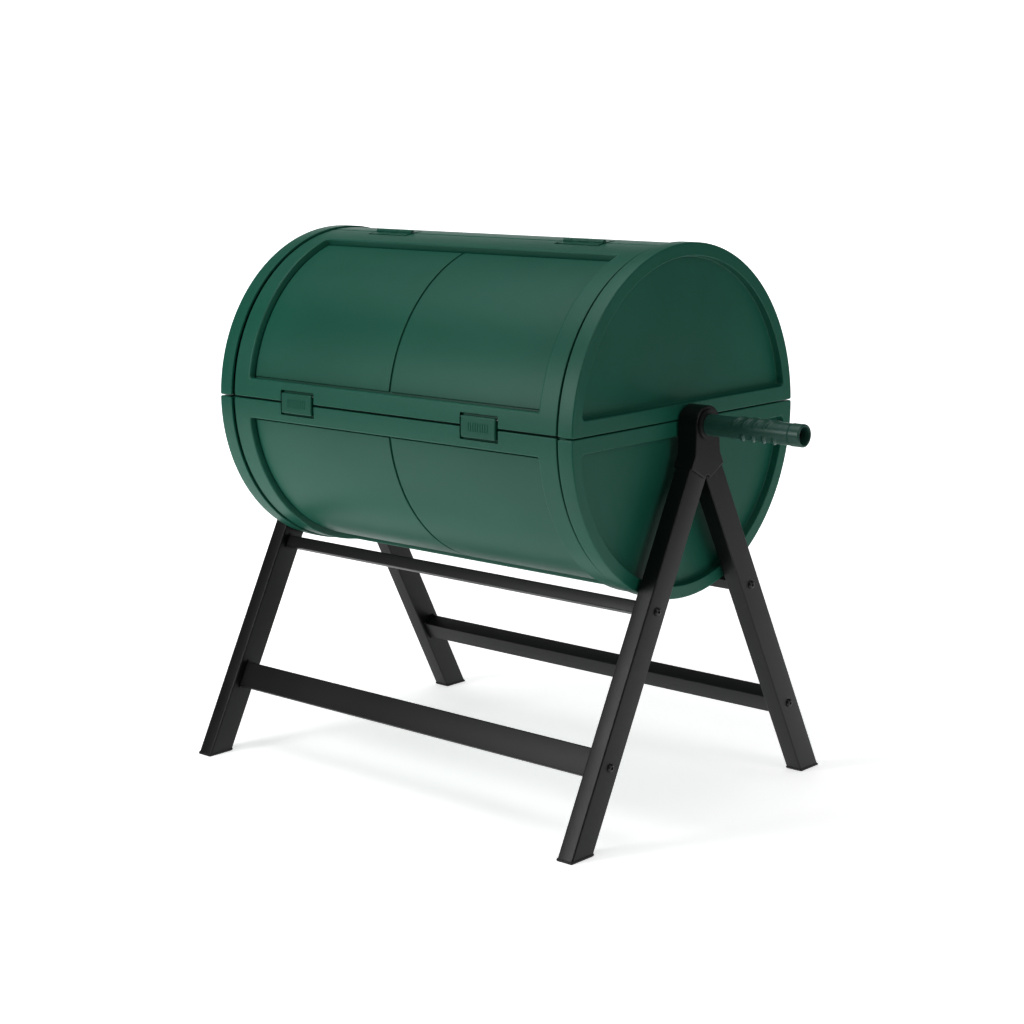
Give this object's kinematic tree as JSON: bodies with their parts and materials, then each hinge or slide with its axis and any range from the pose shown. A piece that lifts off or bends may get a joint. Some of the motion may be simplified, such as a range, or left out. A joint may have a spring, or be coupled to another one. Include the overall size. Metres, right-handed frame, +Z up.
{
  "type": "compost tumbler",
  "caption": "Horizontal compost drum on two A-frames, with a hinged latched lid over split chambers and a turning grip on the axle.",
  "frame": {"origin": "on the floor under the middle of the drum, where the feet stand at z = 0", "axes": "+X along the axle towards the grip, -Y to the front with the lid, +Z up"},
  "size_m": [1.0704, 0.656, 0.9109],
  "materials": {
    "black_frame": "satin powder coat",
    "black_bolts": "black oxide",
    "black_plastic": "moulded, fine grain",
    "green_shell": "moulded, satin with a fine grain",
    "green_panel": "moulded, satin with a fine grain",
    "green_fittings": "moulded, satin",
    "green_grip": "moulded, satin",
    "bare_steel": "zinc plated",
    "seal_rubber": "matt",
    "black_inner": "matt, recycled plastic"
  },
  "bodies": {
    "stand": {"bar_end_plates": "black_frame", "bush_left": "black_plastic", "bush_right": "black_plastic", "crossbar_back_lower": "black_frame", "crossbar_back_upper": "black_frame", "crossbar_front_lower": "black_frame", "crossbar_front_upper": "black_frame", "foot_back_left": "black_plastic", "foot_back_right": "black_plastic", "foot_front_left": "black_plastic", "foot_front_right": "black_plastic", "frame_bolts": "black_bolts", "head_left": "black_frame", "head_right": "black_frame", "head_screws": "bare_steel", "leg_back_left": "black_frame", "leg_back_right": "black_frame", "leg_front_left": "black_frame", "leg_front_right": "black_frame"},
    "lid": {"hinge_leaf_lid_left": "green_fittings", "hinge_leaf_lid_right": "green_fittings", "latch_pins": "bare_steel", "lid_frame": "green_shell", "lid_panel_left": "green_panel", "lid_panel_right": "green_panel"},
    "latch_left": {"latch_left": "green_fittings"},
    "latch_right": {"latch_right": "green_fittings"},
    "drum": {"axle": "bare_steel", "axle_cap": "black_plastic", "divider": "black_inner", "door_jamb": "black_inner", "door_seal": "seal_rubber", "end_cap_left_lower": "green_shell", "end_cap_left_upper": "green_shell", "end_cap_right_lower": "green_shell", "end_cap_right_upper": "green_shell", "grip_pin": "bare_steel", "handle_grip": "green_grip", "hinge_leaf_drum_left": "green_fittings", "hinge_leaf_drum_right": "green_fittings", "hinge_pins": "bare_steel", "hub_left": "black_inner", "hub_right": "black_inner", "hub_screws": "bare_steel", "latch_strikes": "bare_steel", "mixing_bar_lower": "black_inner", "mixing_bar_upper": "black_inner", "panel_lower_back_left": "green_panel", "panel_lower_back_right": "green_panel", "panel_lower_front_left": "green_panel", "panel_lower_front_right": "green_panel", "panel_upper_back_left": "green_panel", "panel_upper_back_right": "green_panel", "seam_strip_back": "black_inner", "seam_strip_bottom": "black_inner", "shell_lower_back": "green_shell", "shell_lower_front": "green_shell", "shell_upper_back": "green_shell"}
  },
  "joints": [
    {"name": "drum_turn", "type": "hinge", "parent": "stand", "child": "drum", "pos_m": [0, 0, 0.63], "axis": [1, 0, 0], "continuous": true},
    {"name": "lid_hinge", "type": "hinge", "parent": "drum", "child": "lid", "pos_m": [0, -0.03406, 0.90742], "axis": [-1, 0, 0], "range_deg": [0, 150]},
    {"name": "latch_left_swing", "type": "hinge", "parent": "lid", "child": "latch_left", "pos_m": [-0.205, -0.27484, 0.6505], "axis": [-1, 0, 0], "range_deg": [0, 100]},
    {"name": "latch_right_swing", "type": "hinge", "parent": "lid", "child": "latch_right", "pos_m": [0.205, -0.27484, 0.6505], "axis": [-1, 0, 0], "range_deg": [0, 100]}
  ]
}
